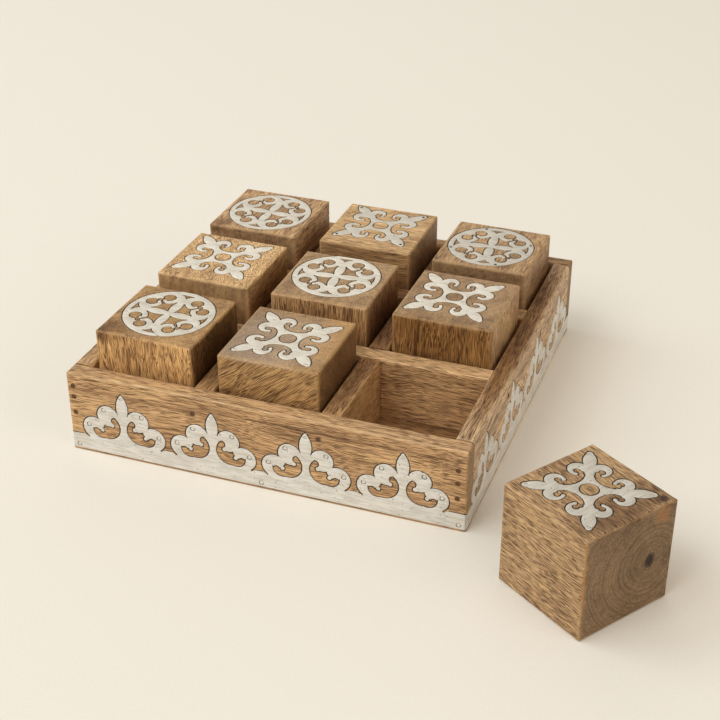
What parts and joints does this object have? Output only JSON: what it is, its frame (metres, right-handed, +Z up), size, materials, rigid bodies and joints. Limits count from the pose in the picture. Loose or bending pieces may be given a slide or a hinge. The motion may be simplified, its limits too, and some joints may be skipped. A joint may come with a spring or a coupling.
{
  "type": "tic-tac-toe board",
  "caption": "Wooden tic-tac-toe tray, a grid of square compartments with a pierced metal border, and lift-out wooden cubes inlaid with metal crosses and roundels.",
  "frame": {"origin": "centre of the tray's underside, on the table", "axes": "+Z up; +X to the tray's right and +Y to its back, seen with the empty compartment at the front right; the loose cube stands beside the front right corner"},
  "size_m": [0.2887, 0.2517, 0.0612],
  "materials": {
    "board_wood": "oiled, open grain",
    "divider_wood": "oiled, open grain",
    "base_wood": "oiled, open grain",
    "cube_wood": "oiled, open grain",
    "inlay_metal": "hand-cut sheet, brushed dull",
    "pin_metal": "filed flush",
    "lac": "dark lac, matt",
    "nail_iron": "dark, filled over"
  },
  "bodies": {
    "tray": {"base_panel": "base_wood", "front_board": "board_wood", "right_board": "board_wood", "back_board": "board_wood", "left_board": "board_wood", "front_divider": "divider_wood", "back_divider": "divider_wood", "left_divider": "divider_wood", "right_divider": "divider_wood", "front_border": "inlay_metal", "right_border": "inlay_metal", "back_border": "inlay_metal", "left_border": "inlay_metal", "front_border_lac": "lac", "right_border_lac": "lac", "back_border_lac": "lac", "left_border_lac": "lac", "border_pins": "pin_metal", "corner_nails": "nail_iron", "divider_nails": "nail_iron"},
    "o_cube_1": {"o_cube_1_block": "cube_wood", "o_cube_1_lac": "lac", "o_cube_1_roundel": "inlay_metal", "o_cube_1_pins": "pin_metal"},
    "o_cube_2": {"o_cube_2_block": "cube_wood", "o_cube_2_lac": "lac", "o_cube_2_roundel": "inlay_metal", "o_cube_2_pins": "pin_metal"},
    "o_cube_3": {"o_cube_3_block": "cube_wood", "o_cube_3_lac": "lac", "o_cube_3_roundel": "inlay_metal", "o_cube_3_pins": "pin_metal"},
    "o_cube_4": {"o_cube_4_block": "cube_wood", "o_cube_4_lac": "lac", "o_cube_4_roundel": "inlay_metal", "o_cube_4_pins": "pin_metal"},
    "x_cube_1": {"x_cube_1_block": "cube_wood", "x_cube_1_lac": "lac", "x_cube_1_cross": "inlay_metal", "x_cube_1_pins": "pin_metal"},
    "x_cube_2": {"x_cube_2_block": "cube_wood", "x_cube_2_lac": "lac", "x_cube_2_cross": "inlay_metal", "x_cube_2_pins": "pin_metal"},
    "x_cube_3": {"x_cube_3_block": "cube_wood", "x_cube_3_lac": "lac", "x_cube_3_cross": "inlay_metal", "x_cube_3_pins": "pin_metal"},
    "x_cube_4": {"x_cube_4_block": "cube_wood", "x_cube_4_lac": "lac", "x_cube_4_cross": "inlay_metal", "x_cube_4_pins": "pin_metal"},
    "x_cube_5": {"x_cube_5_block": "cube_wood", "x_cube_5_lac": "lac", "x_cube_5_cross": "inlay_metal", "x_cube_5_pins": "pin_metal"}
  },
  "joints": [
    {"name": "o_cube_1_lift", "type": "slide", "parent": "tray", "child": "o_cube_1", "axis": [0, 0, 1], "range_m": [0, 0.06]},
    {"name": "o_cube_2_lift", "type": "slide", "parent": "tray", "child": "o_cube_2", "axis": [0, 0, 1], "range_m": [0, 0.06]},
    {"name": "o_cube_3_lift", "type": "slide", "parent": "tray", "child": "o_cube_3", "axis": [0, 0, 1], "range_m": [0, 0.06]},
    {"name": "o_cube_4_lift", "type": "slide", "parent": "tray", "child": "o_cube_4", "axis": [0, 0, 1], "range_m": [0, 0.06]},
    {"name": "x_cube_1_lift", "type": "slide", "parent": "tray", "child": "x_cube_1", "axis": [0, 0, 1], "range_m": [0, 0.06]},
    {"name": "x_cube_2_lift", "type": "slide", "parent": "tray", "child": "x_cube_2", "axis": [0, 0, 1], "range_m": [0, 0.06]},
    {"name": "x_cube_3_lift", "type": "slide", "parent": "tray", "child": "x_cube_3", "axis": [0, 0, 1], "range_m": [0, 0.06]},
    {"name": "x_cube_4_lift", "type": "slide", "parent": "tray", "child": "x_cube_4", "axis": [0, 0, 1], "range_m": [0, 0.06]},
    {"name": "x_cube_5_lift", "type": "slide", "parent": "tray", "child": "x_cube_5", "axis": [0, 0, 1], "range_m": [0, 0.06]}
  ]
}
